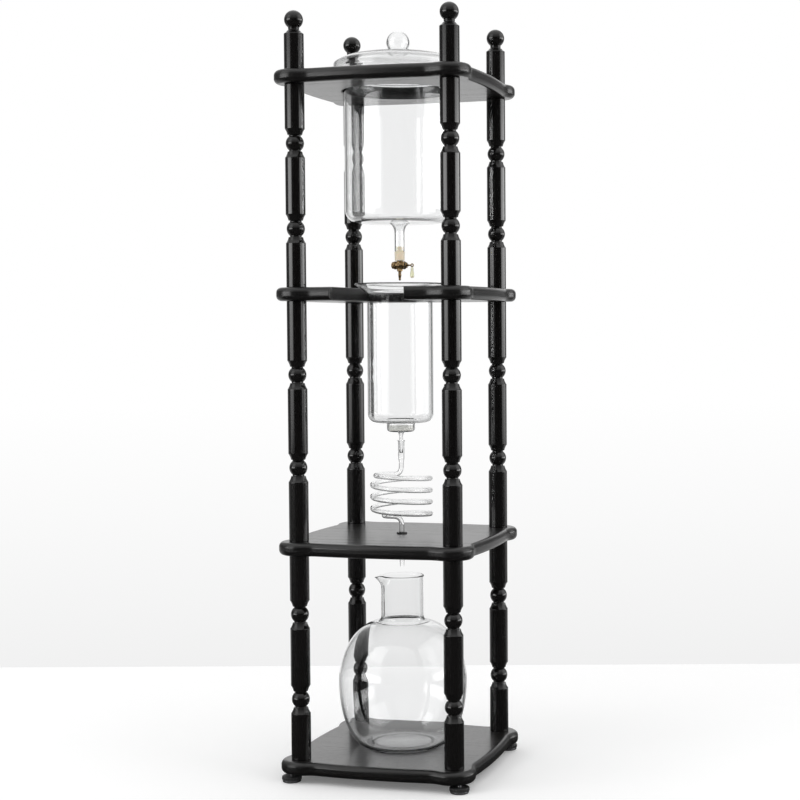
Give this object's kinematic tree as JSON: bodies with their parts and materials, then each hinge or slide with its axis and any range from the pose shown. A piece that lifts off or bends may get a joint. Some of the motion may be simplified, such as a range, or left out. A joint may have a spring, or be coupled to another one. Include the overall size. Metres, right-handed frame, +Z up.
{
  "type": "cold drip coffee tower",
  "caption": "Four-post wooden tower that carries a lidded glass water vessel with a drip valve, a glass brew cylinder, a glass coil and a glass carafe.",
  "frame": {"origin": "on the floor, below the middle of the square base", "axes": "+Z up; +X to the right along the front, the side where the cylinder shelf's slot opens; front towards -Y"},
  "size_m": [0.314, 0.314, 1.192],
  "materials": {
    "black_wood": "black satin lacquer over open grain",
    "steel": "plain zinc-bright",
    "insert_brass": "turned",
    "foot_plastic": "fine matt",
    "foot_chrome": "bright",
    "black_rubber": "matt",
    "clear_glass": "clear, fire-polished",
    "stopper_silicone": "translucent satin",
    "valve_brass": "dark antique with bright edges",
    "handle_cream": "polished",
    "ceramic": "porous, matt"
  },
  "bodies": {
    "tower": {"base_board": "black_wood", "coil_shelf": "black_wood", "cylinder_shelf": "black_wood", "vessel_shelf": "black_wood", "spindle_lower_fl": "black_wood", "spindle_lower_fr": "black_wood", "spindle_lower_br": "black_wood", "spindle_lower_bl": "black_wood", "spindle_middle_fl": "black_wood", "spindle_middle_fr": "black_wood", "spindle_middle_br": "black_wood", "spindle_middle_bl": "black_wood", "spindle_upper_fl": "black_wood", "spindle_upper_fr": "black_wood", "spindle_upper_br": "black_wood", "spindle_upper_bl": "black_wood", "finial_fl": "black_wood", "finial_fr": "black_wood", "finial_br": "black_wood", "finial_bl": "black_wood", "base_screws": "steel", "coil_shelf_studs": "steel", "cylinder_shelf_studs": "steel", "vessel_shelf_studs": "steel", "foot_nuts": "steel", "lower_inserts": "insert_brass", "middle_inserts": "insert_brass", "upper_inserts": "insert_brass", "finial_inserts": "insert_brass", "grommet": "black_rubber"},
    "vessel": {"water_vessel": "clear_glass", "valve_stopper": "stopper_silicone", "valve_body": "valve_brass", "valve_nozzle": "valve_brass", "valve_cap": "valve_brass", "valve_washer": "black_rubber"},
    "lid": {"lid": "clear_glass"},
    "key": {"valve_key": "valve_brass", "valve_handle": "handle_cream"},
    "cylinder": {"brew_cylinder": "clear_glass", "filter_disc": "ceramic"},
    "coil": {"coil": "clear_glass"},
    "carafe": {"carafe": "clear_glass"},
    "foot_fl": {"foot_grip_fl": "foot_plastic", "foot_glide_fl": "foot_chrome"},
    "foot_fr": {"foot_grip_fr": "foot_plastic", "foot_glide_fr": "foot_chrome"},
    "foot_br": {"foot_grip_br": "foot_plastic", "foot_glide_br": "foot_chrome"},
    "foot_bl": {"foot_grip_bl": "foot_plastic", "foot_glide_bl": "foot_chrome"}
  },
  "joints": [
    {"name": "vessel_lift", "type": "slide", "parent": "tower", "child": "vessel", "axis": [0, 0, 1], "range_m": [0, 0.33]},
    {"name": "lid_lift", "type": "slide", "parent": "vessel", "child": "lid", "axis": [0, 0, 1], "range_m": [0, 0.1]},
    {"name": "valve_turn", "type": "hinge", "parent": "vessel", "child": "key", "pos_m": [0, 0, 0.8045], "axis": [-1, 0, 0], "range_deg": [0, 90]},
    {"name": "cylinder_lift", "type": "slide", "parent": "tower", "child": "cylinder", "axis": [0, 0, 1], "range_m": [0, 0.08]},
    {"name": "coil_turn", "type": "hinge", "parent": "tower", "child": "coil", "pos_m": [0, 0, 0.376], "axis": [0, 0, 1], "continuous": true},
    {"name": "carafe_slide", "type": "slide", "parent": "tower", "child": "carafe", "axis": [0, -1, 0], "range_m": [0, 0.27]},
    {"name": "foot_fl_screw", "type": "slide", "parent": "tower", "child": "foot_fl", "axis": [0, 0, 1], "range_m": [-0.008, 0.003]},
    {"name": "foot_fr_screw", "type": "slide", "parent": "tower", "child": "foot_fr", "axis": [0, 0, 1], "range_m": [-0.008, 0.003]},
    {"name": "foot_br_screw", "type": "slide", "parent": "tower", "child": "foot_br", "axis": [0, 0, 1], "range_m": [-0.008, 0.003]},
    {"name": "foot_bl_screw", "type": "slide", "parent": "tower", "child": "foot_bl", "axis": [0, 0, 1], "range_m": [-0.008, 0.003]}
  ]
}
